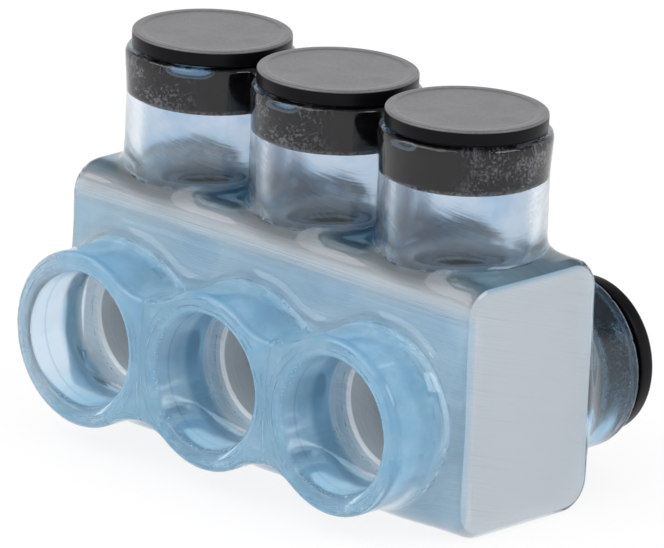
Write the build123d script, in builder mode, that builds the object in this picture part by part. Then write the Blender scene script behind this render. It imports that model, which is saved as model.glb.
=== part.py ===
"""Insulated multi-tap connector: a drilled and tapped metal block in a dip-moulded vinyl cover.

Millimetres. The block lies along X, conductors enter along Y through the collars at the front (-Y) and the
rear (+Y), and the set screws are reached through the towers on top (+Z). The origin is the centre of the
cover's underside.
"""

import os
from math import sqrt

from build123d import *

os.makedirs("parts", exist_ok=True)

# Ports, in a row along X
port_count = 3
bore_radius = 9.3
bore_chamfer = 0.5

# Metal block, an extrusion sawn to length
bore_floor = 7.0  # metal under the bores
bore_roof = 12.3  # metal over the bores, for the set screws' threads
block_edge_radius = 4.0

# Set screws
screw_radius = 7.1
thread_clearance = 0.05
screw_chamfer = 0.7
screw_recess = 1.1  # from the block's top down to the backed-out screw
screw_lift = 0.6  # from the top of the bore up to the backed-out screw's tip
hex_width = 7.94  # across the flats of the socket
hex_depth = 5.0
cup_radius = 4.2
cup_depth = 1.2
tap_countersink = 0.7

# Vinyl cover
coat = 1.2
coat_end_radius = 2.2
insulation_step = 1.2  # how much wider the tubes are inside than the metal's bores
rim_wall = 0.45  # beside the seat of a plug's flange, at the top of a tower
tower_gap = 0.9  # between neighbouring towers
tower_setback = 1.45  # from the towers to the cover's front and rear
end_setback = 2.85  # from the outer towers to the cover's ends
tower_rise = 21.5  # from the metal's top to the towers' crest
tower_valley_radius = 2.0
tower_web_drop = 0.4  # from the crest down to the web between two towers
tower_base_fillet = 2.5
rim_flare = 0.4  # how far a tower spreads towards its crest, where the plug stretches it
rim_flare_height = 8.0
rim_edge = 0.6
collar_wall = 3.5
collar_reach = 14.0  # from the metal's front or rear face to the collar's crest
collar_web = 10.0  # from the bores' axes up or down to the middle of the web between two collars
collar_base_fillet = 4.0
front_lip_chamfer = 1.3
mouth_chamfer = 0.9  # inside the front collars, where the conductors enter
rear_lip_chamfer = 0.8

# Push-in plugs, one pattern for the towers and the rear collars
flange_overhang = 1.96  # how far the flange reaches past the skirt
flange_thickness = 2.55
flange_edge = 0.3
flange_rim = 2.0  # round the dish in the flange's top
flange_dish_depth = 0.2
skirt_depth = 8.0
skirt_wall = 1.6
skirt_lead = 0.6
seat_depth = 0.9  # from the crest of a rim down to the seat of the flange
seat_clearance = 0.2
skirt_clearance = 0.06
rear_plug_proud = 2.3  # how far short of its seat a rear plug has been pushed

# Sizes that follow, from a plug outwards
tube_bore_radius = bore_radius + insulation_step
skirt_radius = tube_bore_radius - skirt_clearance
flange_radius = skirt_radius + flange_overhang
seat_radius = flange_radius + seat_clearance
tower_radius = seat_radius + rim_wall
collar_radius = tube_bore_radius + collar_wall
port_pitch = 2 * tower_radius + tower_gap
port_places = [port_pitch * (i - (port_count - 1) / 2) for i in range(port_count)]
web_places = [x + port_pitch / 2 for x in port_places[:-1]]

# Sizes that follow, of the coat and the block in it
coat_length = (port_count - 1) * port_pitch + 2 * (tower_radius + end_setback)
coat_depth = 2 * (tower_radius + tower_setback)
coat_edge_radius = block_edge_radius + coat
block_length = coat_length - 2 * coat
block_depth = coat_depth - 2 * coat
block_height = bore_floor + 2 * bore_radius + bore_roof
coat_height = block_height + 2 * coat
block_bottom = coat
block_middle = block_bottom + block_height / 2
block_top = block_bottom + block_height
bore_axis = block_bottom + bore_floor + bore_radius
tapped_radius = screw_radius + thread_clearance
screw_top = block_top - screw_recess
screw_tip = bore_axis + bore_radius + screw_lift
tower_crest = block_top + tower_rise

# Planes that look along each row of tubes, with X along the block and Z outwards
top_side = Plane(origin=(0, 0, block_middle), x_dir=(1, 0, 0), z_dir=(0, 0, 1))
front_side = Plane(origin=(0, 0, bore_axis), x_dir=(1, 0, 0), z_dir=(0, -1, 0))
rear_side = Plane(origin=(0, 0, bore_axis), x_dir=(-1, 0, 0), z_dir=(0, 1, 0))
tower_reach = tower_crest - block_middle
collar_crest = block_depth / 2 + collar_reach


def valley_for(tube_radius, web_half_height):
    """Returns the radius of the valleys that narrow a web to that half height, midway between two tubes."""
    spread = (port_pitch / 2) ** 2 + web_half_height**2 - tube_radius**2
    return spread / (2 * (tube_radius - web_half_height))


def add_webbed_row(tube_radius, valley_radius):
    """Adds a row of tubes to the open sketch, with webs that meet them in tangent valleys."""
    centre_distance = tube_radius + valley_radius
    valley_height = sqrt(centre_distance**2 - (port_pitch / 2) ** 2)
    tangent_height = valley_height * tube_radius / centre_distance
    with Locations(*[(x, 0) for x in web_places]):
        Rectangle(port_pitch, 2 * tangent_height)
    with Locations(*[(x, side * valley_height) for x in web_places for side in (1, -1)]):
        Circle(valley_radius, mode=Mode.SUBTRACT)
    add_ports(tube_radius)


def add_ports(radius):
    """Adds a circle at each port to the open sketch."""
    with Locations(*[(x, 0) for x in port_places]):
        Circle(radius)


def circles_of(edges, radius, tolerance=1e-4):
    """Returns the circular edges that have the radius."""
    return edges.filter_by(GeomType.CIRCLE).filter_by(lambda edge: abs(edge.radius - radius) < tolerance)


# Terminal block
with BuildPart() as terminal_block:
    with BuildSketch(Plane.YZ.offset(-block_length / 2)):
        with Locations((0, block_middle)):
            RectangleRounded(block_depth, block_height, block_edge_radius)
    extrude(amount=block_length)
    with BuildSketch(front_side):
        add_ports(bore_radius)
    extrude(amount=block_depth, both=True, mode=Mode.SUBTRACT)
    chamfer(circles_of(terminal_block.edges(), bore_radius), bore_chamfer)
    with BuildSketch(Plane.XY.offset(block_top)):
        add_ports(tapped_radius)
    extrude(amount=bore_axis - block_top, mode=Mode.SUBTRACT)
    chamfer(circles_of(terminal_block.edges(), tapped_radius), tap_countersink)
terminal_block.part.label = "terminal_block"
export_step(terminal_block.part, "parts/terminal_block.step")

# Set screws, backed out of the bores, with a hexagon socket and a cup point
for number, x in enumerate(port_places, 1):
    with BuildPart() as set_screw:
        with BuildSketch(Plane.XY.offset(screw_tip)):
            with Locations((x, 0)):
                Circle(screw_radius)
        extrude(amount=screw_top - screw_tip)
        chamfer(circles_of(set_screw.edges(), screw_radius), screw_chamfer)
        with BuildSketch(Plane.XY.offset(screw_top)):
            with Locations((x, 0)):
                RegularPolygon(hex_width / 2, 6, major_radius=False)
        extrude(amount=-hex_depth, mode=Mode.SUBTRACT)
        with Locations((x, 0, screw_tip)):
            Cone(
                cup_radius,
                cup_radius - cup_depth,
                cup_depth,
                align=(Align.CENTER, Align.CENTER, Align.MIN),
                mode=Mode.SUBTRACT,
            )
    set_screw.part.label = f"set_screw_{number}"
    export_step(set_screw.part, f"parts/set_screw_{number}.step")

# Insulating cover, one moulding
with BuildPart() as insulating_cover:
    with BuildSketch(Plane.YZ.offset(-coat_length / 2)):
        with Locations((0, block_middle)):
            RectangleRounded(coat_depth, coat_height, coat_edge_radius)
    extrude(amount=coat_length)
    fillet(insulating_cover.edges().filter_by(Axis.X, reverse=True), coat_end_radius)

    # Tubes with their webs, each row with a fillet round its foot
    with BuildSketch(top_side):
        add_webbed_row(tower_radius, tower_valley_radius)
    extrude(amount=tower_reach - tower_web_drop)
    fillet(insulating_cover.edges(Select.NEW), tower_base_fillet)
    for side in (front_side, rear_side):
        with BuildSketch(side):
            add_webbed_row(collar_radius, valley_for(collar_radius, collar_web))
        extrude(amount=collar_crest)
        fillet(insulating_cover.edges(Select.NEW), collar_base_fillet)
    chamfer(insulating_cover.edges().group_by(Axis.Y)[0], front_lip_chamfer)
    chamfer(insulating_cover.edges().group_by(Axis.Y)[-1], rear_lip_chamfer)

    # Top of each tower, which spreads round its plug
    rim_radius = tower_radius + rim_flare
    for x in port_places:
        with BuildSketch(Plane.XZ):
            with BuildLine():
                Polyline(
                    (x, tower_crest - rim_flare_height),
                    (x + tower_radius, tower_crest - rim_flare_height),
                    (x + rim_radius, tower_crest - rim_edge),
                    (x + rim_radius - rim_edge / 2, tower_crest),
                    (x, tower_crest),
                    close=True,
                )
            make_face()
        revolve(axis=Axis((x, 0, 0), (0, 0, 1)))

    # Room for the block
    with BuildSketch(Plane.YZ.offset(-block_length / 2)):
        with Locations((0, block_middle)):
            RectangleRounded(block_depth, block_height, block_edge_radius)
    extrude(amount=block_length, mode=Mode.SUBTRACT)

    # Bores of the tubes, with a seat for the plug's flange where a plug goes
    for side, reach in ((top_side, tower_reach), (front_side, collar_crest), (rear_side, collar_crest)):
        with BuildSketch(side):
            add_ports(tube_bore_radius)
        extrude(amount=reach, mode=Mode.SUBTRACT)
    for side, reach in ((top_side, tower_reach), (rear_side, collar_crest)):
        with BuildSketch(side.offset(reach - seat_depth)):
            add_ports(seat_radius)
        extrude(amount=seat_depth, mode=Mode.SUBTRACT)
    front_crests = insulating_cover.edges().group_by(Axis.Y)[0]
    chamfer(circles_of(front_crests, tube_bore_radius), mouth_chamfer)
insulating_cover.part.label = "insulating_cover"
export_step(insulating_cover.part, "parts/insulating_cover.step")


def make_plug(name, seat):
    """Writes a push-in plug: a dished flange whose underside lies on the seat plane, and a hollow skirt."""
    with BuildPart() as plug:
        with BuildSketch(Plane(origin=seat.origin, x_dir=seat.x_dir, z_dir=-seat.y_dir)):
            with BuildLine():
                Polyline(
                    (0, 0),
                    (skirt_radius - skirt_wall, 0),
                    (skirt_radius - skirt_wall, -skirt_depth),
                    (skirt_radius - skirt_lead, -skirt_depth),
                    (skirt_radius, skirt_lead - skirt_depth),
                    (skirt_radius, 0),
                    (flange_radius - flange_edge, 0),
                    (flange_radius, flange_edge),
                    (flange_radius, flange_thickness - flange_edge),
                    (flange_radius - flange_edge, flange_thickness),
                    (flange_radius - flange_rim, flange_thickness),
                    (flange_radius - flange_rim - flange_dish_depth, flange_thickness - flange_dish_depth),
                    (0, flange_thickness - flange_dish_depth),
                    close=True,
                )
            make_face()
        revolve(axis=Axis(seat.origin, seat.z_dir))
    plug.part.label = name
    export_step(plug.part, f"parts/{name}.step")


# Plugs on their seats in the towers, and pushed most of the way into the rear collars
tower_seat = tower_crest - seat_depth
rear_seat = collar_crest - seat_depth + rear_plug_proud
for number, x in enumerate(port_places, 1):
    make_plug(f"access_plug_{number}", Plane(origin=(x, 0, tower_seat), x_dir=(1, 0, 0), z_dir=(0, 0, 1)))
    rear_place = Plane(origin=(x, rear_seat, bore_axis), x_dir=(-1, 0, 0), z_dir=(0, 1, 0))
    make_plug(f"rear_port_plug_{number}", rear_place)
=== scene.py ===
"""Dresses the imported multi-tap connector: a drilled metal block, its set screws, a clear vinyl cover and plugs.

Lengths in the classes are millimetres in the part's frame, and turns are degrees. Meshes are written in metres.
"""

from __future__ import annotations

import logging
import math
from dataclasses import dataclass
from enum import Enum
from functools import cached_property, reduce
from typing import Union

import bmesh
import bpy
import numpy as np
from bpy.types import Material, Node, NodeSocket as Socket, NodeTree, Object
from mathutils import Matrix, Vector

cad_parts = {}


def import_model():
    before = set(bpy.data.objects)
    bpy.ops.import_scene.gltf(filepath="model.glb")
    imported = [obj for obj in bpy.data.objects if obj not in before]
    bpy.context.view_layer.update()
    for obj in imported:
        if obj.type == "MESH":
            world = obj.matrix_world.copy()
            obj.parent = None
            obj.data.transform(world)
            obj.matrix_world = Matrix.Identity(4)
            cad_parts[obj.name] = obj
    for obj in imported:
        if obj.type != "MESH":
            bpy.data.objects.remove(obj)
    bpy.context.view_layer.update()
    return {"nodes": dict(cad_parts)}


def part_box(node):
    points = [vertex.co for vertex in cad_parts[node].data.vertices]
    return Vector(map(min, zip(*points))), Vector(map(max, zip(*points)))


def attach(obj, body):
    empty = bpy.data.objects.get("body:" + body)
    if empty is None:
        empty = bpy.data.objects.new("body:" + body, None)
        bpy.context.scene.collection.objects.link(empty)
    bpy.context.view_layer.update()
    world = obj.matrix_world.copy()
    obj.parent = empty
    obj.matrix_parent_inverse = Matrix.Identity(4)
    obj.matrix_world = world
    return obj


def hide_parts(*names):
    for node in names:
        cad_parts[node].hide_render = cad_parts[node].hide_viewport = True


log = logging.getLogger("connector")
Array = np.ndarray
Value = Union[Socket, float, tuple]
MM = 0.001
PITCH = 27.0
PORT_PLACES = (-PITCH, 0.0, PITCH)
BORE_AXIS = 17.5
GRADES = 10


class PlugPlace(Enum):
    """Where a push-in plug sits, with the stems of the names of its CAD node and its body."""

    TOWER = ("access_plug", "access_plug_body")
    REAR_COLLAR = ("rear_port_plug", "rear_plug_body")


class PlugZone(Enum):
    """The finishes of a plug, in the order of its material slots, with their indices of refraction.

    The vinyl wets the skirt, which takes most of its gloss away.
    """

    FLANGE_SIDE = 1.22
    SKIRT = 1.1
    TOP = 1.6


@dataclass
class NodeGraph:
    """Writes shader nodes into one node tree."""

    tree: NodeTree

    def add(self, kind: str, inputs: dict | None = None, **settings: object) -> Node:
        """Adds a node.

        Args:
            kind: the node's type name.
            inputs: values, or sockets to link, by input name or number.
            settings: the node's own properties.

        Returns:
            The new node.
        """
        node = self.tree.nodes.new(kind)
        for name, value in settings.items():
            setattr(node, name, value)
        self.fill(node, inputs or {})
        return node

    def fill(self, node: Node, inputs: dict) -> None:
        """Feeds a node's inputs, by name or number."""
        for key, value in inputs.items():
            self.feed(node.inputs[key], value)

    def feed(self, socket: Socket, value: Value) -> None:
        """Sets an input.

        Args:
            socket: the input.
            value: a plain value, or a socket to link.
        """
        if isinstance(value, Socket):
            self.tree.links.new(value, socket)
        else:
            socket.default_value = value

    def math(self, operation: str, *values: Value, clamp: bool = False) -> Socket:
        """Places a Math node.

        Args:
            operation: the Math node's operation.
            values: its operands.
            clamp: whether the result is held between 0 and 1.

        Returns:
            The result.
        """
        node = self.add("ShaderNodeMath", dict(enumerate(values)), operation=operation, use_clamp=clamp)
        return node.outputs[0]

    def times(self, *values: Value) -> Socket:
        """Returns the product of the values."""
        return reduce(lambda a, b: self.math("MULTIPLY", a, b), values)

    def plus(self, *values: Value) -> Socket:
        """Returns the sum of the values."""
        return reduce(lambda a, b: self.math("ADD", a, b), values)

    def most(self, *values: Value) -> Socket:
        """Returns the greatest of the values."""
        return reduce(lambda a, b: self.math("MAXIMUM", a, b), values)

    def minus(self, value: Value, other: Value) -> Socket:
        """Returns the difference of two values."""
        return self.math("SUBTRACT", value, other)

    def rest(self, mask: Value) -> Socket:
        """Returns what a mask leaves out."""
        return self.minus(1.0, mask)

    def fit(self, value: Value, factor: Value, shift: Value) -> Socket:
        """Returns the value times a factor, plus a shift."""
        return self.math("MULTIPLY_ADD", value, factor, shift)

    def size(self, value: Value) -> Socket:
        """Returns the value without its sign."""
        return self.math("ABSOLUTE", value)

    def over(self, value: Value, limit: float) -> Socket:
        """Returns 1 where the value is greater than the limit."""
        return self.math("GREATER_THAN", value, limit)

    def under(self, value: Value, limit: float) -> Socket:
        """Returns 1 where the value is less than the limit."""
        return self.math("LESS_THAN", value, limit)

    def between(self, value: Value, low: float, high: float) -> Socket:
        """Returns 0 below low, 1 above high and a smooth step between them."""
        inputs = {"Value": value, "From Min": low, "From Max": high}
        return self.add("ShaderNodeMapRange", inputs, interpolation_type="SMOOTHSTEP").outputs[0]

    def span(self, value: Value, ends: tuple) -> Socket:
        """Returns a mask that rises between the first two ends and falls between the last two."""
        return self.minus(self.between(value, *ends[:2]), self.between(value, *ends[2:]))

    def square(self, u: Value, v: Value) -> Socket:
        """Returns the square of the length of a pair of coordinates."""
        return self.plus(self.times(u, u), self.times(v, v))

    def axes(self, place: Socket) -> list[Socket]:
        """Returns the three coordinates of a place."""
        return list(self.add("ShaderNodeSeparateXYZ", {0: place}).outputs)

    def beside_port(self, x: Socket) -> Socket:
        """Returns the distance along X from the nearest port, with its sign."""
        return self.minus(x, self.times(self.math("ROUND", self.math("DIVIDE", x, PITCH)), PITCH))

    def blend(self, factor: Value, first: Value, second: Value) -> Socket:
        """Mixes two colours.

        Args:
            factor: the share of the second.
            first: the first colour.
            second: the second colour.

        Returns:
            The mix.
        """
        node = self.tree.nodes.new("ShaderNodeMix")
        node.data_type = "RGBA"
        colours = [socket for socket in node.inputs if socket.type == "RGBA"]
        self.feed(node.inputs["Factor"], factor)
        self.feed(colours[0], first)
        self.feed(colours[1], second)
        return [socket for socket in node.outputs if socket.type == "RGBA"][0]

    def noise(self, place: Socket, scale: Value, detail: float = 3.0, roughness: float = 0.5) -> Socket:
        """Returns the height of a noise texture, about 0 to 1."""
        inputs = {"Vector": place, "Scale": scale, "Detail": detail, "Roughness": roughness}
        return self.add("ShaderNodeTexNoise", inputs).outputs[0]

    def group(self, tree: NodeTree, inputs: dict) -> Socket:
        """Places a node group.

        Args:
            tree: the group.
            inputs: its values, by input name.

        Returns:
            Its output.
        """
        node = self.add("ShaderNodeGroup", node_tree=tree)
        self.fill(node, inputs)
        return node.outputs[0]


def new_group(name: str, inputs: dict[str, float | None], output: str) -> tuple[NodeGraph, dict, Socket]:
    """Starts a shader node group.

    Args:
        name: the group's name.
        inputs: default value by input name, where None stands for a vector.
        output: the name of its output, a number.

    Returns:
        Its graph, its inner input sockets by name, and the socket that its result goes into.
    """
    tree = bpy.data.node_groups.new(name, "ShaderNodeTree")
    for key, value in inputs.items():
        kind = "NodeSocketVector" if value is None else "NodeSocketFloat"
        socket = tree.interface.new_socket(key, in_out="INPUT", socket_type=kind)
        if value is not None:
            socket.default_value = value
    tree.interface.new_socket(output, in_out="OUTPUT", socket_type="NodeSocketFloat")
    graph = NodeGraph(tree)
    entry = graph.add("NodeGroupInput")
    return graph, {key: entry.outputs[key] for key in inputs}, graph.add("NodeGroupOutput").inputs[output]


@dataclass
class SharedEffects:
    """Node groups that several finishes use, each made when it is first asked for."""

    fine_share: float = 0.6
    coarse_share: float = 0.4
    coarse_scale: float = 0.21
    speck_weight: float = 1.3
    dust_contrast: float = 5.0
    grain_share: float = 0.06

    @cached_property
    def tool_marks(self) -> NodeTree:
        """Parallel marks that vary quickly across and slowly along."""
        inputs = {"Across": 0.0, "Along": 0.0, "Pitch": 0.3, "Run": 12.0}
        graph, given, result = new_group("tool_marks", inputs, "Height")
        across = graph.math("DIVIDE", given["Across"], given["Pitch"])
        along = graph.math("DIVIDE", given["Along"], given["Run"])
        fine = graph.add("ShaderNodeCombineXYZ", {0: across, 1: along})
        coarse = graph.add("ShaderNodeCombineXYZ", {0: graph.times(across, self.coarse_scale), 1: along, 2: 7.0})
        height = graph.plus(
            graph.times(graph.noise(fine.outputs[0], 1.0, 2.0), self.fine_share),
            graph.times(graph.noise(coarse.outputs[0], 1.0, 2.0), self.coarse_share),
        )
        graph.feed(result, height)
        return graph.tree

    @cached_property
    def dust(self) -> NodeTree:
        """A speckled mask: fine specks gathered in loose patches."""
        inputs = {"Vector": None, "Patch": 4.0, "Speck": 0.35, "Amount": 0.5}
        graph, given, result = new_group("dust", inputs, "Mask")
        patch = graph.noise(given["Vector"], graph.math("DIVIDE", 1.0, given["Patch"]), 3.0, 0.6)
        speck = graph.noise(given["Vector"], graph.math("DIVIDE", 1.0, given["Speck"]), 2.0, 0.7)
        level = graph.plus(patch, graph.times(graph.minus(speck, 0.5), self.speck_weight))
        above = graph.minus(level, graph.rest(given["Amount"]))
        graph.feed(result, graph.math("MULTIPLY", above, self.dust_contrast, clamp=True))
        return graph.tree

    @cached_property
    def moulded_skin(self) -> NodeTree:
        """The soft unevenness of a moulded surface, in millimetres of height."""
        inputs = {"Vector": None, "Wave": 6.0, "Grain": 0.8, "Depth": 0.02}
        graph, given, result = new_group("moulded_skin", inputs, "Height")
        wave = graph.noise(given["Vector"], graph.math("DIVIDE", 1.0, given["Wave"]), 1.0, 0.4)
        grain = graph.noise(given["Vector"], graph.math("DIVIDE", 1.0, given["Grain"]), 2.0, 0.5)
        height = graph.plus(wave, graph.times(grain, self.grain_share))
        graph.feed(result, graph.times(height, given["Depth"]))
        return graph.tree


def empty_graph(owner: Material | bpy.types.World) -> NodeGraph:
    """Clears the nodes of a material or of the world.

    Args:
        owner: the material or the world.

    Returns:
        The graph of its nodes.
    """
    owner.use_nodes = True
    owner.node_tree.nodes.clear()
    return NodeGraph(owner.node_tree)


def new_object(name: str, data: bpy.types.ID) -> Object:
    """Puts new data into the scene.

    Args:
        name: the object's name.
        data: its mesh, lamp or camera.

    Returns:
        The object.
    """
    made = bpy.data.objects.new(name, data)
    bpy.context.scene.collection.objects.link(made)
    return made


def new_material(name: str) -> tuple[Material, NodeGraph, Node, Socket]:
    """Starts a material on a Principled shader.

    Args:
        name: the material's name.

    Returns:
        The material, its graph, its shader and its coordinates in millimetres.
    """
    material = bpy.data.materials.new(name)
    graph = empty_graph(material)
    shader = graph.add("ShaderNodeBsdfPrincipled")
    graph.add("ShaderNodeOutputMaterial", {"Surface": shader.outputs[0]})
    place = graph.add("ShaderNodeTexCoord")
    scale = (1.0 / MM,) * 3
    scaled = graph.add("ShaderNodeVectorMath", {0: place.outputs["Object"], 1: scale}, operation="MULTIPLY")
    return material, graph, shader, scaled.outputs[0]


def bump(graph: NodeGraph, shader: Node, height: Socket) -> None:
    """Feeds a height in millimetres to the shader's normal."""
    node = graph.add("ShaderNodeBump", {"Strength": 1.0, "Distance": MM, "Height": height})
    graph.feed(shader.inputs["Normal"], node.outputs[0])


@dataclass(frozen=True)
class VinylSpot:
    """Where a point of the vinyl lies: its coordinates in millimetres, and masks of parts of the cover."""

    place: Socket
    x: Socket
    y: Socket
    z: Socket
    beside: Socket
    level: Socket
    away: Socket
    in_tower: Socket
    in_collar: Socket
    at_crest: Socket
    near_wall: Socket


@dataclass(frozen=True)
class ClearVinyl:
    """One grade of the soft blue see-through vinyl: glossy and uneven outside, frosted inside the tubes.

    The higher the grade, the milkier the vinyl. Each pair of a span is where a change starts and ends.
    """

    grade: int = 0
    milkier: float = 0.055
    ior: float = 1.5
    specular: float = 0.22
    thin_tint: tuple = (0.83, 0.90, 0.97, 1.0)
    clear_tint: tuple = (0.92, 0.93, 0.97, 1.0)
    tower_tint: tuple = (0.64, 0.70, 0.78, 1.0)
    smudge_tint: tuple = (0.42, 0.57, 0.72, 1.0)
    thick_tint: tuple = (0.36, 0.67, 0.90, 1.0)
    cloud_tint: tuple = (0.50, 0.78, 0.98, 1.0)
    band_tint: tuple = (0.22, 0.46, 0.66, 1.0)
    gloss: float = 0.05
    film_gloss: float = 0.08
    crest: float = 26.2
    crest_fade: float = 0.8
    crest_frost: float = 0.06
    frost: float = 0.13
    collar_frost: float = 0.9
    tube_radius: float = 10.9
    coat_top: float = 39.3
    coat_face: float = 13.5
    face_margin: float = 0.5
    face_fade: float = 5.0
    rear_fade: float = 2.0
    far_wall: tuple = (-36.0, -30.0)
    edge_fade: tuple = (33.8, 37.8)
    top_reflection_heights: tuple = (38.5, 39.5, 41.0, 45.0)
    top_reflection_sides: tuple = (10.0, 14.0)
    smudge_span: tuple = (0.45, 0.62)
    cloud_span: tuple = (0.40, 0.66)
    shadow_band: tuple = (15.6, 17.0, 19.2, 21.0)
    mould_line: tuple = (23.4, 23.7, 23.8, 24.1)
    line_shade: float = 0.5
    lip_shade: float = 0.35
    rear_shade: float = 0.4
    scuff_slant: float = 0.5
    scuff_depth: float = 0.05
    mouth_rings: tuple = (12.1, 13.1)
    ring_width: float = 0.22
    crease_width: float = 0.5
    ridge_height: float = 0.14

    def material(self, effects: SharedEffects) -> Material:
        """Makes this grade's material.

        Args:
            effects: the shared node groups.

        Returns:
            The material.
        """
        material, graph, shader, place = new_material(f"clear_vinyl_{self.grade}")
        spot = self._spot(graph, place)
        graph.fill(shader, {
            "Base Color": self._tint(graph, spot),
            "Roughness": self._roughness(graph, spot, effects),
            "Specular IOR Level": self.specular,
            "IOR": self.ior,
            "Transmission Weight": 1.0 - self.milkier * self.grade,
        })
        bump(graph, shader, self._relief(graph, spot, effects))
        return material

    def _spot(self, graph: NodeGraph, place: Socket) -> VinylSpot:
        """Finds where a point of the vinyl lies.

        Args:
            graph: the material's graph.
            place: the point's coordinates.

        Returns:
            Its coordinates and masks.
        """
        x, y, z = graph.axes(place)
        beside, level, away = graph.beside_port(x), graph.minus(z, BORE_AXIS), graph.size(y)
        return VinylSpot(
            place=place, x=x, y=y, z=z, beside=beside, level=level, away=away,
            in_tower=self._within(graph, beside, y, graph.over(z, self.coat_top)),
            in_collar=self._within(graph, beside, level, graph.over(away, self.coat_face)),
            at_crest=graph.between(away, self.crest - self.crest_fade, self.crest),
            near_wall=graph.between(x, *self.far_wall),
        )

    def _within(self, graph: NodeGraph, u: Socket, v: Socket, beyond: Socket) -> Socket:
        """Returns 1 on the wall of a tube's bore, past the block's face."""
        return graph.times(graph.under(graph.square(u, v), self.tube_radius**2), beyond)

    def _tint(self, graph: NodeGraph, spot: VinylSpot) -> Socket:
        """Colours the vinyl: pale on the coat, blue where it is thick, darker in bands, and a painted dark blue
        reflection of the towers on top between them and round their feet.

        Args:
            graph: the material's graph.
            spot: the point.

        Returns:
            The colour.
        """
        out_of_coat = graph.between(spot.away, self.coat_face, self.coat_face + self.face_fade)
        deep = graph.times(out_of_coat, graph.fit(spot.in_collar, -0.2, 1.0), graph.fit(spot.near_wall, 0.9, 0.1))
        below_edge = graph.rest(graph.between(spot.z, *self.edge_fade))
        on_face = graph.over(spot.away, self.coat_face - self.face_margin)
        front = graph.times(on_face, below_edge, graph.fit(spot.in_collar, -0.7, 0.7))
        # Painted reflection: the coat on top between the towers and round their feet takes the deep blue for the dark
        # towers that it mirrors.
        middle = graph.rest(graph.between(spot.away, *self.top_reflection_sides))
        on_top = graph.times(graph.span(spot.z, self.top_reflection_heights), middle, graph.rest(spot.in_tower))
        blue = graph.math("MAXIMUM", deep, graph.most(front, on_top), clamp=True)
        cloud = graph.between(graph.noise(spot.place, 0.15, 5.0, 0.65), *self.cloud_span)
        thick = graph.blend(cloud, self.thick_tint, self.cloud_tint)
        patches = graph.between(graph.noise(spot.place, 0.16, 4.0, 0.6), *self.smudge_span)
        wall = graph.blend(spot.in_tower, self.thin_tint, self.tower_tint)
        smudged = graph.blend(graph.times(patches, spot.in_tower), wall, self.smudge_tint)
        cleared = graph.times(out_of_coat, graph.rest(spot.near_wall))
        thin = graph.blend(cleared, smudged, self.clear_tint)
        line = graph.times(graph.span(spot.away, self.mould_line), self.line_shade)
        band = graph.times(graph.most(graph.span(spot.away, self.shadow_band), line), spot.in_collar)
        lip = graph.times(spot.at_crest, spot.near_wall, self.lip_shade)
        at_rear = graph.between(spot.y, self.coat_face, self.coat_face + self.rear_fade)
        shaded = graph.most(band, lip, graph.times(at_rear, self.rear_shade))
        return graph.blend(shaded, graph.blend(blue, thin, thick), self.band_tint)

    def _roughness(self, graph: NodeGraph, spot: VinylSpot, effects: SharedEffects) -> Socket:
        """Frosts the vinyl inside the tubes, and lays a little film outside.

        Args:
            graph: the material's graph.
            spot: the point.
            effects: the shared node groups.

        Returns:
            The roughness.
        """
        film = graph.group(effects.dust, {"Vector": spot.place, "Patch": 9.0, "Speck": 0.5, "Amount": 0.42})
        outer = graph.fit(spot.at_crest, self.crest_frost, graph.fit(film, self.film_gloss, self.gloss))
        tubes = graph.math("ADD", spot.in_tower, graph.times(spot.in_collar, self.collar_frost), clamp=True)
        return graph.fit(tubes, self.frost, outer)

    def _relief(self, graph: NodeGraph, spot: VinylSpot, effects: SharedEffects) -> Socket:
        """Adds up the moulded skin, the scuffs in the towers and the flow lines on the lips.

        Args:
            graph: the material's graph.
            spot: the point.
            effects: the shared node groups.

        Returns:
            The height.
        """
        skin = graph.group(effects.moulded_skin, {"Vector": spot.place, "Wave": 6.0, "Grain": 1.5, "Depth": 0.07})
        slant = graph.fit(spot.x, self.scuff_slant, spot.z)
        rubbed = graph.group(effects.tool_marks, {"Across": slant, "Along": spot.x, "Pitch": 0.5, "Run": 6.0})
        scuffs = graph.times(rubbed, graph.times(spot.in_tower, self.scuff_depth))
        return graph.plus(skin, scuffs, self._flow_lines(graph, spot))

    def _flow_lines(self, graph: NodeGraph, spot: VinylSpot) -> Socket:
        """Draws the broken rings round each mouth and the creases midway between the ports.

        Args:
            graph: the material's graph.
            spot: the point.

        Returns:
            The height.
        """
        radius = graph.math("SQRT", graph.square(spot.beside, spot.level))
        broken = graph.between(graph.noise(spot.place, 0.22, 1.0), 0.42, 0.6)
        width = self.ring_width
        rings = graph.plus(*[graph.span(radius, (ring - width, ring, ring, ring + width)) for ring in self.mouth_rings])
        crease = graph.between(graph.size(spot.beside), PITCH / 2 - self.crease_width, PITCH / 2)
        on_lip = graph.between(spot.away, self.crest - 2.0, self.crest - 0.5)
        return graph.times(graph.plus(graph.times(rings, broken), crease), on_lip, self.ridge_height)


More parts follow.
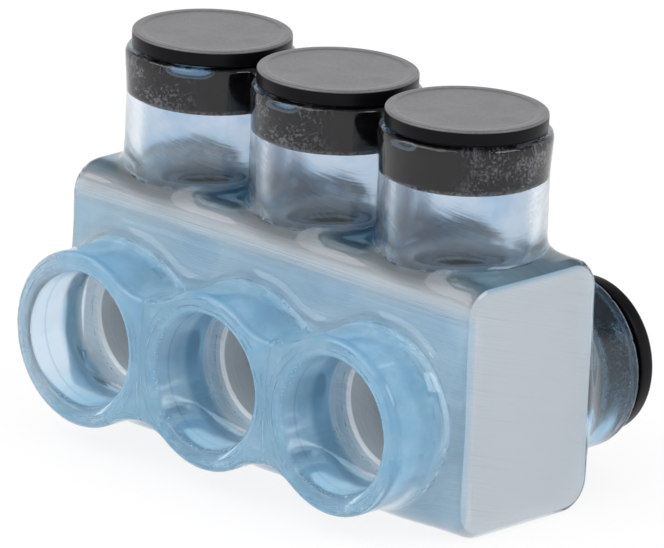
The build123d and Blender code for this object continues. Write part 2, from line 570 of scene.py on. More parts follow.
@dataclass(frozen=True)
class BlockAluminium:
    """Extruded aluminium with sawn ends and drilled bores, with painted light on the sawn ends, painted shade on the
    long top edges and a painted dark reflection of the towers on top between them.
    """

    colour: tuple = (0.88, 0.89, 0.90, 1.0)
    # painted reflection: the dark blue that the top between the towers takes for the dark towers it mirrors
    painted_reflection: tuple = (0.22, 0.40, 0.54, 1.0)
    bore_dark: tuple = (0.72, 0.70, 0.69, 1.0)
    bore_light: tuple = (1.0, 0.98, 0.96, 1.0)
    top_plane: float = 38.9
    end_plane: float = 41.6
    bore_radius: float = 9.5
    saw_slant: float = 0.3
    base_shade: float = 0.62
    end_painted_light: float = 0.15
    mark_contrast: float = 0.56
    edge_rise: tuple = (35.8, 38.2)
    edge_sides: tuple = (7.0, 10.0)
    edge_painted_shade: float = -0.42
    reflection_beside: tuple = (7.5, 11.0)
    reflection_sides: tuple = (8.0, 12.0)
    metallic: float = 0.85
    end_metallic: float = -0.3
    bore_metallic: float = -0.6
    roughness: float = 0.48
    cloudiness: float = 0.2
    mark_depth: float = 0.08

    def material(self, effects: SharedEffects) -> Material:
        """Makes the block's material.

        Args:
            effects: the shared node groups.

        Returns:
            The material.
        """
        material, graph, shader, place = new_material("block_metal")
        x, y, z = graph.axes(place)
        beside = graph.beside_port(x)
        at_end = graph.over(graph.size(x), self.end_plane)
        across_saw = graph.plus(z, graph.times(y, self.saw_slant))
        sawn = graph.group(effects.tool_marks, {"Across": across_saw, "Along": y, "Pitch": 0.35, "Run": 25.0})
        drawn = graph.group(effects.tool_marks, {"Across": graph.plus(y, z), "Along": x, "Pitch": 0.25, "Run": 40.0})
        marks = graph.add("ShaderNodeMix", {"Factor": at_end, 2: drawn, 3: sawn}).outputs[0]
        # Painted light: the sawn ends get a lighter colour, for the light that falls on them from the side.
        lift = graph.fit(at_end, self.end_painted_light, self.base_shade)
        shade = graph.math("MULTIPLY_ADD", marks, self.mark_contrast, lift, clamp=True)
        # Painted shade: the long top edges are darkened.
        at_side = graph.between(graph.size(y), *self.edge_sides)
        edge = graph.times(graph.between(z, *self.edge_rise), at_side, graph.rest(at_end))
        shade = graph.times(shade, graph.fit(edge, self.edge_painted_shade, 1.0))
        # Painted reflection: the top between the towers is tinted dark blue for the dark towers and plugs that it
        # mirrors.
        reflection_area = graph.times(
            graph.over(z, self.top_plane),
            graph.between(graph.size(beside), *self.reflection_beside),
            graph.under(graph.size(x), PITCH),
            graph.rest(graph.between(graph.size(y), *self.reflection_sides)),
        )
        plain = graph.blend(reflection_area, self.colour, self.painted_reflection)
        tone = graph.add("ShaderNodeVectorMath", {0: plain, 1: shade}, operation="MULTIPLY").outputs[0]
        in_bore = graph.under(graph.square(beside, graph.minus(z, BORE_AXIS)), self.bore_radius**2)
        bored = graph.group(effects.tool_marks, {"Across": y, "Along": z, "Pitch": 0.22, "Run": 9.0})
        bore_tone = graph.blend(bored, self.bore_dark, self.bore_light)
        metallic = graph.fit(at_end, self.end_metallic, self.metallic)
        graph.fill(shader, {
            "Base Color": graph.blend(in_bore, tone, bore_tone),
            "Metallic": graph.fit(in_bore, self.bore_metallic, metallic),
            "Roughness": graph.fit(graph.noise(place, 0.12, 3.0, 0.6), self.cloudiness, self.roughness),
        })
        bump(graph, shader, graph.times(marks, self.mark_depth))
        return material


@dataclass(frozen=True)
class ScrewMetal:
    """Turned metal of the set screws, coloured dark as painted shade, with a painted highlight band on the walls of the
    hex socket.
    """

    # painted shade: dark, for the dark plugs above that the screws' tops mirror
    colour: tuple = (0.20, 0.22, 0.25, 1.0)
    painted_highlight: tuple = (0.95, 0.96, 0.98, 1.0)
    socket_radius: float = 4.7
    highlight_heights: tuple = (36.3, 36.6, 37.2, 37.5)
    highlight_dulling: float = 0.8
    roughness: float = 0.22
    mark_roughness: float = 0.2
    mark_depth: float = 0.03

    def material(self, effects: SharedEffects) -> Material:
        """Makes the screws' material.

        Args:
            effects: the shared node groups.

        Returns:
            The material.
        """
        material, graph, shader, place = new_material("screw_metal")
        x, y, z = graph.axes(place)
        marks = graph.group(effects.tool_marks, {"Across": z, "Along": x, "Pitch": 0.2, "Run": 30.0})
        in_socket = graph.under(graph.square(graph.beside_port(x), y), self.socket_radius**2)
        # Painted highlight: a bright, less metallic band on the walls of the hex socket.
        painted_highlight = graph.times(in_socket, graph.span(z, self.highlight_heights))
        graph.fill(shader, {
            "Base Color": graph.blend(painted_highlight, self.colour, self.painted_highlight),
            "Metallic": graph.rest(graph.times(painted_highlight, self.highlight_dulling)),
            "Roughness": graph.fit(marks, self.mark_roughness, self.roughness),
        })
        bump(graph, shader, graph.times(marks, self.mark_depth))
        return material


@dataclass(frozen=True)
class BlackPlugRubber:
    """Satin black moulding, with dust and pale film on the skirt that is pushed into the vinyl, and a paler top that is
    partly film and partly painted sheen.

    A window is a crescent of painted light under the flange, the blue light that comes through the vinyl's rim, with a
    painted glint along its lower edge.
    Heights are from the plug's seat.
    """

    name: str = "black_plug"
    zone: PlugZone = PlugZone.FLANGE_SIDE
    colour: tuple = (0.002, 0.002, 0.003, 1.0)
    film: tuple = (0.31, 0.30, 0.32, 1.0)
    painted_window: tuple = (0.20, 0.42, 0.62, 1.0)
    glint: tuple = (0.12, 0.15, 0.19, 1.0)
    window_turn: float = -64.0
    window_side: float = 8.7
    window_high: float = -0.6
    window_height: float = 1.3
    window_low_edge: tuple = (-0.05, 0.15)
    window_top_edge: tuple = (-0.5, -0.3)
    glint_span: tuple = (-0.3, -0.2, -0.1, 0.0)
    glint_sides: tuple = (0.5, 0.9)
    dust_turn: float = -116.0
    dust_sides: tuple = (3.0, 10.0)
    dust_share: float = 0.6
    skirt_radius: float = 10.44
    skirt_top: float = -0.05
    low_edge: tuple = (-7.9, -7.0)
    top_height: float = 2.2
    top_film_and_sheen: float = 0.14
    top_grain: float = 0.4
    roughness: float = 0.26
    cloudiness: float = 0.16

    def material(self, effects: SharedEffects) -> Material:
        """Makes the material, for coordinates with Z along the plug's axis.

        Args:
            effects: the shared node groups.

        Returns:
            The material.
        """
        material, graph, shader, place = new_material(self.name)
        x, y, z = graph.axes(place)
        dust_and_sheen = graph.blend(self._film_mask(graph, place, effects), self.colour, self.film)
        # Painted light: the blue window crescent under the flange, and a painted glint along its lower edge.
        lit = graph.between(self._toward(graph, x, y, self.window_turn), self.window_side, self.skirt_radius)
        depth = graph.minus(z, graph.fit(lit, -self.window_height, self.window_high))
        painted_window = graph.minus(graph.between(depth, *self.window_low_edge), graph.between(z, *self.window_top_edge))
        painted_window = graph.math("MULTIPLY", painted_window, graph.math("MULTIPLY", lit, 3.0, clamp=True), clamp=True)
        glint = graph.times(graph.span(depth, self.glint_span), graph.between(lit, *self.glint_sides))
        shown = graph.blend(painted_window, dust_and_sheen, self.painted_window)
        graph.fill(shader, {
            "Base Color": graph.blend(glint, shown, self.glint),
            "Roughness": graph.fit(graph.noise(place, 0.25, 3.0, 0.6), self.cloudiness, self.roughness),
            "IOR": self.zone.value,
        })
        skin = {"Vector": place, "Wave": 4.0, "Grain": 0.35, "Depth": 0.06}
        bump(graph, shader, graph.group(effects.moulded_skin, skin))
        return material

    def _film_mask(self, graph: NodeGraph, place: Socket, effects: SharedEffects) -> Socket:
        """Spreads film over one side of the skirt and its low edge, and film with painted sheen over the top.

        Args:
            graph: the material's graph.
            place: the coordinates.
            effects: the shared node groups.

        Returns:
            How much film and painted sheen there is.
        """
        x, y, z = graph.axes(place)
        patches = graph.group(effects.dust, {"Vector": place, "Patch": 5.0, "Speck": 0.45, "Amount": 0.50})
        dusty_side = graph.between(self._toward(graph, x, y, self.dust_turn), *self.dust_sides)
        edge_dust = graph.group(effects.dust, {"Vector": place, "Patch": 2.0, "Speck": 0.3, "Amount": 0.62})
        low_edge = graph.rest(graph.between(z, *self.low_edge))
        skirt_film = graph.most(
            graph.times(patches, graph.times(dusty_side, self.dust_share)),
            graph.times(low_edge, edge_dust),
        )
        on_skirt = graph.times(skirt_film, graph.under(z, self.skirt_top))
        grain = graph.noise(place, 3.0, 2.0, 0.7)
        # Partly film, partly painted sheen: the flange's top is made paler, for the light it catches at a slant.
        on_top = graph.times(graph.over(z, self.top_height), graph.fit(grain, self.top_grain, self.top_film_and_sheen))
        return graph.math("MAXIMUM", on_skirt, on_top, clamp=True)

    def _toward(self, graph: NodeGraph, x: Socket, y: Socket, turn: float) -> Socket:
        """Returns how far a point lies from the plug's axis towards a direction, which a turn from X gives."""
        angle = math.radians(turn)
        return graph.plus(graph.times(x, math.cos(angle)), graph.times(y, math.sin(angle)))


def new_piece(name: str, vertices: Array, faces: list, materials: list) -> Object:
    """Makes a smooth mesh object.

    Args:
        name: the piece's name.
        vertices: its points, in millimetres.
        faces: its faces, as vertex numbers.
        materials: its finishes, in the order of its slots.

    Returns:
        The new object.
    """
    mesh = bpy.data.meshes.new(name)
    mesh.from_pydata((np.asarray(vertices) * MM).tolist(), [], faces)
    mesh.update()
    mesh.shade_smooth()
    for material in materials:
        mesh.materials.append(material)
    return new_object(name, mesh)


def ramp(value: Array, start: float, span: float) -> Array:
    """Returns 0 up to the start, 1 past the span and a straight rise between."""
    return np.clip((value - start) / span, 0, 1)


def smooth(t: Array) -> Array:
    """Returns a ramp's value with soft ends."""
    return t * t * (3 - 2 * t)


def soft_min(a: Array, b: Array, width: float | Array) -> Array:
    """Joins two distance fields with a smooth fillet about as wide as width."""
    h = np.maximum(width - np.abs(a - b), 0.0) / width
    return np.minimum(a, b) - h * h * h * width / 6.0


def round_max(a: Array, b: Array, radius: float) -> Array:
    """Meets two distance fields with a rounded edge.

    Args:
        a: the first field.
        b: the second field.
        radius: the edge's radius.

    Returns:
        The field of what both hold.
    """
    u, v = a + radius, b + radius
    outside = np.hypot(np.maximum(u, 0.0), np.maximum(v, 0.0))
    return outside + np.minimum(np.maximum(u, v), 0.0) - radius


def bar(u: Array, v: Array, half_u: float, half_v: float, radius: float) -> Array:
    """Returns the distance to a rounded rectangle about the origin."""
    qu, qv = np.abs(u) - (half_u - radius), np.abs(v) - (half_v - radius)
    return np.hypot(np.maximum(qu, 0), np.maximum(qv, 0)) + np.minimum(np.maximum(qu, qv), 0) - radius


@dataclass
class VinylCover:
    """The dip-moulded cover, as one smooth skin with towers on top and collars at the front and the rear."""

    half_length: float = 42.9
    half_depth: float = 14.5
    height: float = 40.3
    coat: float = 1.2
    edge_radius: float = 5.2
    end_radius: float = 2.2
    block_edge_radius: float = 4.0
    contact: float = 0.08
    tower_radius: float = 13.05
    tower_crest: float = 60.1
    tower_flare: float = 0.4
    flare_height: float = 8.0
    rim_radius: float = 1.8
    seat_height: float = 59.8
    seat_radius: float = 12.3
    seat_depth: float = 0.9
    tower_bore: float = 10.38
    collar_radius: float = 14.0
    collar_crest: float = 27.3
    collar_bore: float = 10.5
    valley_radius: float = 10.78
    lip_radius: float = 1.2
    lip_start: float = 11.6
    lip_slope: float = 0.03
    tower_foot: float = 4.0
    collar_foot: float = 8.0
    web: float = 4.0
    unevenness: float = 0.16
    uneven_from: float = 1.0
    inner_edge: float = 0.3
    inner_lip: float = 3.0
    rim_lip: float = 1.2
    mouth_from: float = 18.0
    rim_from: float = 58.6
    fade: float = 4.0
    milky_from: float = 13.5
    milky_span: float = 6.0
    inner_span: float = 3.5
    milky_coat: float = 0.57
    milky_outside: float = 0.64
    far_from: float = -36.0
    far_span: float = 6.0
    step: float = 0.8
    fine_step: float = 0.4
    margin: float = 0.6
    low_margin: float = 0.63
    end_margins: tuple = (0.93, 0.9)
    fine_depths: tuple = ((-28, -25.4), (25.2, 28))
    fine_heights: tuple = ((58.4, 62),)
    pulls: int = 3
    longest_pull: float = 0.3

    def waves(self, x: Array, y: Array, z: Array) -> Array:
        """Returns the slow unevenness of the dipped skin, 0 to 1, from four waves that cross."""
        total = (
            np.sin(0.21 * x + 0.13 * z + 0.8)
            + np.sin(0.19 * y - 0.24 * z + 2.1 + 0.6 * np.sin(0.11 * x))
            + np.sin(0.33 * x - 0.17 * y + 0.09 * z + 4.0)
            + np.sin(0.12 * x + 0.31 * z - 0.22 * y + 1.3)
        )
        return 0.5 + total / 8.0

    def row_outline(self, x: Array, z: Array) -> Array:
        """Outlines a row of collars, whose webs meet them in wide valleys.

        Args:
            x: places along X.
            z: places along Z.

        Returns:
            The distance.
        """
        half = PITCH / 2
        reach = self.collar_radius + self.valley_radius
        valley = math.sqrt(reach**2 - half**2)
        best = reduce(np.minimum, [np.hypot(x - place, z - BORE_AXIS) - self.collar_radius for place in PORT_PLACES])
        for middle in (-half, half):
            beside, above = np.abs(x - middle), np.abs(z - BORE_AXIS)
            between = (beside * valley < (valley - above) * half) & (above < valley)
            web = self.valley_radius - np.hypot(beside, above - valley)
            best = np.where(between, web, best)
        return best

    def outside(self, x: Array, y: Array, z: Array) -> Array:
        """Measures to the outer skin.

        Args:
            x: places along X.
            y: places along Y.
            z: places along Z.

        Returns:
            The distance.
        """
        middle = self.height / 2
        body = bar(y, z - middle, self.half_depth, middle, self.edge_radius)
        flare = self.tower_flare * smooth(ramp(z, self.tower_crest - self.flare_height, self.flare_height))
        towers = reduce(
            lambda a, b: soft_min(a, b, self.web),
            [np.hypot(x - place, y) - self.tower_radius - flare for place in PORT_PLACES],
        )
        towers = np.maximum(round_max(towers, z - self.tower_crest, self.rim_radius), middle - z)
        nearest = reduce(
            lambda a, b: soft_min(a, b, 1.0),
            [np.hypot(x - place, z - BORE_AXIS) for place in PORT_PLACES],
        )
        fall = self.lip_slope * np.maximum(nearest - self.lip_start, 0.0) ** 2
        collars = round_max(self.row_outline(x, z), np.abs(y) - self.collar_crest + fall, self.lip_radius)
        joined = soft_min(soft_min(body, towers, self.tower_foot), collars, self.collar_foot)
        return round_max(joined, np.abs(x) - self.half_length, self.end_radius)

    def hollow(self, x: Array, y: Array, z: Array) -> Array:
        """Measures to the room inside, for the block, the conductors and the plugs.

        Args:
            x: places along X.
            y: places along Y.
            z: places along Z.

        Returns:
            The distance.
        """
        middle, wall = self.height / 2, self.coat + self.contact
        section = bar(y, z - middle, self.half_depth - wall, middle - wall, self.block_edge_radius)
        room = np.maximum(section, np.abs(x) - (self.half_length - wall))
        for place in PORT_PLACES:
            round_z = np.hypot(x - place, y)
            shaft = np.maximum(round_z - self.tower_bore, middle - z)
            seat = np.maximum(round_z - self.seat_radius, self.seat_height - z)
            round_y = np.hypot(x - place, z - BORE_AXIS)
            rear_seat = np.maximum(round_y - self.seat_radius, (self.collar_crest - self.seat_depth) - y)
            for cut in (shaft, seat, round_y - self.collar_bore, rear_seat):
                room = np.minimum(room, cut)
        return room

    def distance(self, x: Array, y: Array, z: Array) -> Array:
        """Measures to the cover's surface.

        Args:
            x: places along X.
            y: places along Y.
            z: places along Z.

        Returns:
            The distance, below 0 inside the vinyl.
        """
        skin = self.outside(x, y, z) + self.unevenness * ramp(z, self.uneven_from, self.fade) * self.waves(x, y, z)
        mouth = smooth(ramp(np.abs(y), self.mouth_from, self.fade))
        rim = ramp(z, self.rim_from, 1.0)
        width = self.inner_edge + (self.inner_lip - self.inner_edge) * mouth + self.rim_lip * rim
        return -soft_min(-skin, self.hollow(x, y, z), width)

    def ticks(self, low: float, high: float, fine: tuple) -> Array:
        """Spaces out grid places.

        Args:
            low: the first place.
            high: where they end.
            fine: spans in which they lie closer together.

        Returns:
            The places.
        """
        places = [low]
        while places[-1] < high:
            here = places[-1]
            near = any(a <= here <= b for a, b in fine)
            places.append(here + (self.fine_step if near else self.step))
        return np.array(places)

    def net(self) -> tuple[Array, Array]:
        """Returns the vertices and quads of the surface, from a dual grid."""
        low_end, high_end = self.end_margins
        ticks = (
            self.ticks(-self.half_length - low_end, self.half_length + high_end, ()),
            self.ticks(-self.collar_crest - self.low_margin, self.collar_crest + self.margin, self.fine_depths),
            self.ticks(-self.low_margin, self.tower_crest + self.margin, self.fine_heights),
        )
        values = self.distance(ticks[0][:, None, None], ticks[1][None, :, None], ticks[2][None, None, :])
        inside = values < 0
        long, deep, high = (count - 1 for count in inside.shape)
        counts = sum(
            inside[i : long + i, j : deep + j, k : high + k].astype(np.int8)
            for i in (0, 1) for j in (0, 1) for k in (0, 1)
        )
        active = (counts > 0) & (counts < 8)
        number = np.full(active.shape, -1)
        number[active] = np.arange(active.sum())
        return self._points(values, ticks, np.argwhere(active)), self._quads(inside, number)

    def _points(self, values: Array, ticks: tuple, cell: Array) -> Array:
        """Returns a point for each cell, the mean of where its edges cross the surface.

        Args:
            values: the distances at the grid's places.
            ticks: the places along each axis.
            cell: the lowest corner of each cell that the surface passes through.

        Returns:
            The points, in the cells' order.
        """
        total, hits = np.zeros((len(cell), 3)), np.zeros(len(cell))
        for axis in range(3):
            others = [a for a in range(3) if a != axis]
            for shift in ((0, 0), (0, 1), (1, 0), (1, 1)):
                start = cell.copy()
                start[:, others] += shift
                end = start.copy()
                end[:, axis] += 1
                first, last = values[tuple(start.T)], values[tuple(end.T)]
                cross = (first < 0) != (last < 0)
                t = np.where(cross, first / np.where(cross, first - last, 1.0), 0.0)
                a = np.stack([ticks[i][start[:, i]] for i in range(3)], 1)
                b = np.stack([ticks[i][end[:, i]] for i in range(3)], 1)
                total += np.where(cross[:, None], a + (b - a) * t[:, None], 0.0)
                hits += cross
        return total / hits[:, None]

    def _quads(self, inside: Array, number: Array) -> Array:
        """Returns a quad for each edge of the grid that crosses the surface, facing out of the vinyl.

        Args:
            inside: which places of the grid lie in the vinyl.
            number: the number of each cell's point.

        Returns:
            The quads, as numbers of points.
        """
        quads = []
        for axis in range(3):
            first, second = (axis + 1) % 3, (axis + 2) % 3
            edge = np.argwhere(np.diff(inside, axis=axis))
            for side in (first, second):
                edge = edge[(edge[:, side] > 0) & (edge[:, side] < number.shape[side])]
            corners = []
            for shift in ((-1, -1), (0, -1), (0, 0), (-1, 0)):
                at = edge.copy()
                at[:, (first, second)] += shift
                corners.append(number[tuple(at.T)])
            quad = np.stack(corners, 1)
            flip = ~inside[tuple(edge.T)]
            quad[flip] = quad[flip][:, ::-1]
            quads.append(quad)
        return np.concatenate(quads)

    def gradient(self, points: Array) -> Array:
        """Measures the distance field's slope.

        Args:
            points: where to measure it.

        Returns:
            The slope at each point.
        """
        small = 0.02
        slope = np.empty_like(points)
        for axis in range(3):
            ahead, behind = points.copy(), points.copy()
            ahead[:, axis] += small
            behind[:, axis] -= small
            slope[:, axis] = (self.distance(*ahead.T) - self.distance(*behind.T)) / (2 * small)
        return slope

    def milkiness(self, places: Array, normals: Array) -> Array:
        """Rates the vinyl: milkiest in the front collars, clear at the rear and at the far outer wall.

        Args:
            places: the middle of each face.
            normals: the direction that each face looks in.

        Returns:
            How milky each face is, 0 to 1.
        """
        x, y, z = places.T
        beside = x - np.clip(np.round(x / PITCH), -1, 1) * PITCH
        above = z - BORE_AXIS
        bored = np.clip(-(normals[:, 0] * beside + normals[:, 2] * above) / np.hypot(beside, above), 0, 1)
        facing = np.clip(normals[:, 1] * np.sign(y), 0, 1)
        near_wall = np.clip((x - self.far_from) / self.far_span, 0.1, 1)
        depth = smooth(ramp(-y, self.milky_from, self.milky_span))
        outer = np.maximum(facing, np.clip((z - 2.0) / 14.0, 0.5, 1) * near_wall)
        inner = np.clip((z - 5.0) / 8.0, 0.3, 1.0) * near_wall
        cloudy = depth * self.milky_outside * outer * (1 - bored)
        cloudy = cloudy + smooth(ramp(-y, self.milky_from, self.inner_span)) * inner * bored
        coat = np.clip((38.0 - z) / 4.0, 0, 1) * facing * self.milky_coat
        return np.maximum(cloudy, coat * (1 - bored) * np.maximum(near_wall, 1 - depth))

    def build(self, materials: list[Material]) -> Object:
        """Builds the cover where its CAD node is.

        Args:
            materials: its finishes, from the clearest to the milkiest.

        Returns:
            The cover, riding on the housing.
        """
        points, quads = self.net()
        for _ in range(self.pulls):
            slope = self.gradient(points)
            size = np.maximum((slope * slope).sum(1), 0.25)
            move = -(self.distance(*points.T) / size)[:, None] * slope
            points += np.clip(move, -self.longest_pull, self.longest_pull)
        points[:, 0] = np.clip(points[:, 0], -self.half_length, self.half_length)
        points[:, 2] = np.maximum(points[:, 2], 0.0)
        piece = new_piece("vinyl_cover", points, quads.tolist(), materials)
        slope = self.gradient(points)
        normals = slope / np.maximum(np.linalg.norm(slope, axis=1), 1e-6)[:, None]
        grade = self.milkiness(points[quads].mean(1), normals[quads].mean(1)) * (len(materials) - 1)
        piece.data.polygons.foreach_set("material_index", np.round(grade).astype(np.int32))
        piece.data.normals_split_custom_set_from_vertices(normals.tolist())
        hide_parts("insulating_cover")
        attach(piece, "housing")
        log.info("vinyl cover: %d quads", len(quads))
        return piece


@dataclass
class PushPlug:
    """A plug with a dished flange and a hollow skirt, turned about its axis."""

    flange_radius: float = 12.4
    flange_thickness: float = 2.55
    flange_round: float = 0.35
    dish_radius: float = 11.2
    dish_depth: float = 0.12
    dish_slope: float = 0.7
    dish_steps: int = 6
    rim_inset: float = 0.4
    neck: float = 0.2
    skirt_radius: float = 10.44
    skirt_wall: float = 1.6
    skirt_depth: float = 8.0
    skirt_round: float = 0.5
    inner_round: float = 0.3
    segments: int = 128
    sharp_from: float = 40.0

    def profile(self) -> list[tuple[float, float]]:
        """Returns the half section as radius and height, from the centre of the top round to the inside."""
        top, low = self.flange_thickness, -self.skirt_depth
        points = [(radius, top - self.dish_depth) for radius in (0.0, 4.0, 8.0)]
        for i in range(self.dish_steps + 1):
            t = i / self.dish_steps
            radius = self.dish_radius - self.dish_slope + self.dish_slope * t
            points.append((radius, top - self.dish_depth * (1 - smooth(t))))
        points.append((self.flange_radius - self.rim_inset, top))
        side = self.flange_radius - self.flange_round
        points += self._arc(side, top - self.flange_round, self.flange_round, 90, 0)
        points += self._arc(side, self.flange_round, self.flange_round, 0, -90)
        points += [(self.skirt_radius + self.neck, 0.0), (self.skirt_radius, -self.neck)]
        points += [(self.skirt_radius, low * share) for share in (0.25, 0.5, 0.75)]
        points += self._arc(self.skirt_radius - self.skirt_round, low + self.skirt_round, self.skirt_round, 0, -90)
        inner = self.skirt_radius - self.skirt_wall
        points += self._arc(inner + self.inner_round, low + self.inner_round, self.inner_round, -90, -180)
        points += [(inner, -0.6), (inner - 0.5, 0.0), (inner / 2, 0.0), (0.0, 0.0)]
        return points

    def _arc(self, radius: float, height: float, size: float, start: float, end: float) -> list[tuple[float, float]]:
        """Returns five points of an arc about a place of the section, from start to end degrees."""
        angles = [math.radians(start + (end - start) * i / 4) for i in range(5)]
        return [(radius + size * math.cos(a), height + size * math.sin(a)) for a in angles]

    def mesh(self, name: str, finishes: list[Material]) -> Object:
        """Turns the section into a piece at its own origin, with Z along its axis and 0 at the seat.

        Args:
            name: the piece's name.
            finishes: its materials, in the order of PlugZone.

        Returns:
            The new object.
        """
        profile = self.profile()
        rings = profile[1:-1]
        n = self.segments
        turns = np.linspace(0, 2 * math.pi, n, endpoint=False)
        vertices = [(0.0, 0.0, profile[0][1])]
        for radius, height in rings:
            vertices += [(radius * math.cos(a), radius * math.sin(a), height) for a in turns]
        vertices.append((0.0, 0.0, profile[-1][1]))
        faces = [(0, 1 + i, 1 + (i + 1) % n) for i in range(n)]
        for ring in range(len(rings) - 1):
            a, b = 1 + ring * n, 1 + (ring + 1) * n
            faces += [(a + i, b + i, b + (i + 1) % n, a + (i + 1) % n) for i in range(n)]
        last, end = 1 + (len(rings) - 1) * n, len(vertices) - 1
        faces += [(last + i, end, last + (i + 1) % n) for i in range(n)]
        piece = new_piece(name, np.array(vertices), faces, finishes)
        piece.data.set_sharp_from_angle(angle=math.radians(self.sharp_from))
        zones = list(PlugZone)
        heights = np.array([np.mean([vertices[v][2] for v in face]) for face in faces])
        chosen = np.full(len(faces), zones.index(PlugZone.FLANGE_SIDE))
        chosen[heights > self.flange_thickness - 0.2] = zones.index(PlugZone.TOP)
        chosen[heights < -0.05] = zones.index(PlugZone.SKIRT)
        piece.data.polygons.foreach_set("material_index", chosen.astype(np.int32))
        return piece

    def build(self, place: PlugPlace, number: int, finishes: list[Material]) -> Object:
        """Builds one plug where its CAD node is.

        Args:
            place: in a tower or in a rear collar.
            number: the port's number, from 1.
            finishes: its materials, in the order of PlugZone.

        Returns:
            The plug, riding on its own body.
        """
        node_stem, body_stem = place.value
        node = f"{node_stem}_{number}"
        low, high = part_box(node)
        piece = self.mesh(f"plug_{place.name.lower()}_{number}", finishes)
        x = (low.x + high.x) / 2
        if place is PlugPlace.TOWER:
            seat = Matrix.Translation((x, (low.y + high.y) / 2, high.z - self.flange_thickness * MM))
        else:
            seat = Matrix.Translation((x, high.y - self.flange_thickness * MM, (low.z + high.z) / 2))
            seat = seat @ Matrix.Rotation(math.radians(-90), 4, "X")
        piece.matrix_world = seat
        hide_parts(node)
        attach(piece, f"{body_stem}_{number}")
        log.info("plug %s", piece.name)
        return piece


@dataclass
class PlugRow:
    """All the plugs: at each port one in the tower and one in the rear collar.

    Each port has its own turns of the painted window light and of the dust on its plugs' skirts.
    """

    window_turns: tuple = (-64.0, -96.0, -106.0)
    dust_turns: tuple = (-116.0, -112.0, 8.0)

    def build(self, effects: SharedEffects) -> None:
        """Makes the plugs' finishes and builds the plugs.

        Args:
            effects: the shared node groups.
        """
        side = BlackPlugRubber().material(effects)
        top = BlackPlugRubber(name="black_plug_top", zone=PlugZone.TOP).material(effects)
        for number, (window_turn, dust_turn) in enumerate(zip(self.window_turns, self.dust_turns), 1):
            skirt = BlackPlugRubber(
                name=f"black_plug_skirt_{number}",
                zone=PlugZone.SKIRT,
                window_turn=window_turn,
                dust_turn=dust_turn,
            ).material(effects)
            for place in PlugPlace:
                PushPlug().build(place, number, [side, skirt, top])


@dataclass
class MetalParts:
    """The block and the set screws, which keep their CAD shapes."""

    nodes: dict[str, Object]

    def dress(self, block: Material, screw: Material) -> None:
        """Gives each metal node its finish.

        Args:
            block: the block's finish.
            screw: the screws' finish.
        """
        finishes = {"terminal_block": block} | {f"set_screw_{number}": screw for number in (1, 2, 3)}
        for name, finish in finishes.items():
            self.nodes[name].material_slots[0].material = finish
            log.info("dressed %s", name)


def bearing(azimuth: float, elevation: float) -> Vector:
    """Returns the direction that lies azimuth degrees from the front towards +X, and elevation degrees up."""
    a, e = math.radians(azimuth), math.radians(elevation)
    return Vector((math.sin(a) * math.cos(e), -math.cos(a) * math.cos(e), math.sin(e)))


@dataclass(frozen=True)
class Lamp:
    """A soft rectangular lamp that faces a place: its bearing, distance and size in metres, and watts."""

    name: str
    azimuth: float
    elevation: float
    size: tuple
    power: float
    away: float = 1.3

    def build(self, target: Vector) -> None:
        """Adds the lamp.

        Args:
            target: the place that it faces.
        """
        back = bearing(self.azimuth, self.elevation)
        data = bpy.data.lights.new(self.name, "AREA")
        data.shape = "RECTANGLE"
        data.size, data.size_y = self.size
        data.energy = self.power
        lamp = new_object(self.name, data)
        lamp.location = target + back * self.away
        lamp.rotation_euler = back.to_track_quat("Z", "Y").to_euler()


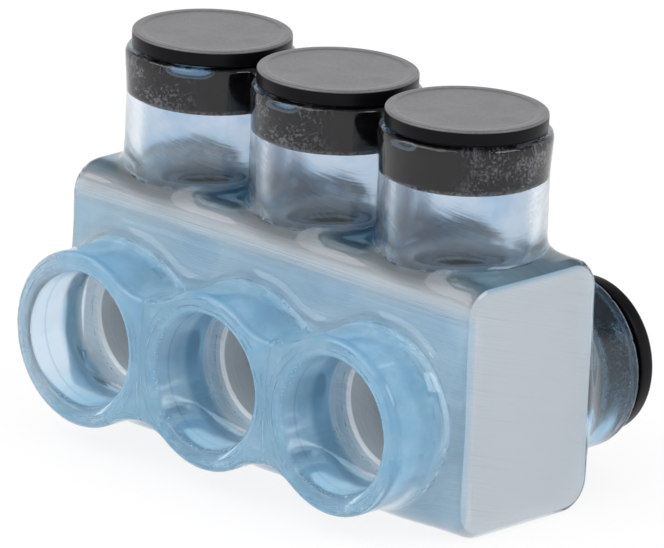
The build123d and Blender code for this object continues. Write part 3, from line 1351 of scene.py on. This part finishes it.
@dataclass
class Studio:
    """Camera, lamps, floor and surroundings."""

    azimuth: float = 43.58962
    elevation: float = 17.32313
    roll: float = 2.42221
    target: tuple = (-0.000033, 0.000580, 0.029413)
    distance: float = 1.33356
    lens: float = 472.56
    sensor: float = 36.0
    clips: tuple = (0.05, 50.0)
    ambient: float = 0.85
    overhead: float = 0.3
    dark_above: tuple = (0.28, 0.50)
    dark_behind: tuple = (-0.35, 0.0)
    floor_radius: float = 6.0
    floor_colour: tuple = (0.9, 0.9, 0.9, 1.0)
    floor_glow: float = 0.86
    lamps: tuple = (
        Lamp("key", -25, 50, (1.5, 0.7), 7.5),
        Lamp("sparkle", 28, 52, (0.12, 0.12), 0.25),
        Lamp("fill", 105, 40, (0.7, 0.5), 5.0),
    )

    def camera(self) -> None:
        """Places the camera at the photograph's viewpoint."""
        back = bearing(self.azimuth, self.elevation)
        right = (-back).cross(Vector((0, 0, 1))).normalized()
        up = right.cross(-back)
        r = math.radians(self.roll)
        right, up = right * math.cos(r) + up * math.sin(r), up * math.cos(r) - right * math.sin(r)
        data = bpy.data.cameras.new("camera")
        data.sensor_fit = "HORIZONTAL"
        data.sensor_width = self.sensor
        data.lens = self.lens
        data.clip_start, data.clip_end = self.clips
        camera = new_object("camera", data)
        rotation = Matrix((right, up, back)).transposed().to_4x4()
        camera.matrix_world = Matrix.Translation(Vector(self.target) + back * self.distance) @ rotation
        bpy.context.scene.camera = camera

    def world(self) -> None:
        """Makes white surroundings, darker behind and above the part for reflections."""
        world = bpy.data.worlds.new("studio")
        bpy.context.scene.world = world
        graph = empty_graph(world)
        path = graph.add("ShaderNodeLightPath").outputs
        _, behind, above = graph.axes(graph.add("ShaderNodeTexCoord").outputs["Generated"])
        overhead = graph.times(graph.between(above, *self.dark_above), graph.between(behind, *self.dark_behind))
        seen = graph.fit(overhead, self.overhead - 1.0, 1.0)
        mirror = graph.most(path["Is Glossy Ray"], path["Is Transmission Ray"])
        soft = graph.fit(graph.minus(seen, self.ambient), mirror, self.ambient)
        strength = graph.fit(graph.rest(soft), path["Is Camera Ray"], soft)
        background = graph.add("ShaderNodeBackground", {"Color": (1, 1, 1, 1), "Strength": strength})
        graph.add("ShaderNodeOutputWorld", {"Surface": background.outputs[0]})

    def floor(self) -> None:
        """Lays a white floor that keeps a pale shadow."""
        material = bpy.data.materials.new("floor")
        graph = empty_graph(material)
        path = graph.add("ShaderNodeLightPath").outputs
        seen = graph.most(path["Is Camera Ray"], path["Is Glossy Ray"], path["Is Transmission Ray"])
        diffuse = graph.add("ShaderNodeBsdfDiffuse", {"Color": self.floor_colour})
        glow = graph.add("ShaderNodeEmission", {"Color": (1, 1, 1, 1), "Strength": 1.0})
        share = graph.times(seen, self.floor_glow)
        mix = graph.add("ShaderNodeMixShader", {0: share, 1: diffuse.outputs[0], 2: glow.outputs[0]})
        graph.add("ShaderNodeOutputMaterial", {"Surface": mix.outputs[0]})
        grid = bmesh.new()
        bmesh.ops.create_circle(grid, cap_ends=True, radius=self.floor_radius, segments=96)
        mesh = bpy.data.meshes.new("floor")
        grid.to_mesh(mesh)
        grid.free()
        mesh.materials.append(material)
        floor = new_object("floor", mesh)

    def build(self) -> None:
        """Sets the whole stage."""
        self.camera()
        self.world()
        self.floor()
        for lamp in self.lamps:
            lamp.build(Vector(self.target))
        bpy.context.scene.view_settings.view_transform = "Standard"
        log.info("studio ready")


def main() -> None:
    """Builds the stage and every piece in order."""
    logging.basicConfig(level=logging.INFO, format="%(message)s")
    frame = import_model()
    Studio().build()
    effects = SharedEffects()
    MetalParts(frame["nodes"]).dress(BlockAluminium().material(effects), ScrewMetal().material(effects))
    VinylCover().build([ClearVinyl(grade).material(effects) for grade in range(GRADES)])
    PlugRow().build(effects)


if __name__ == "__main__":
    main()
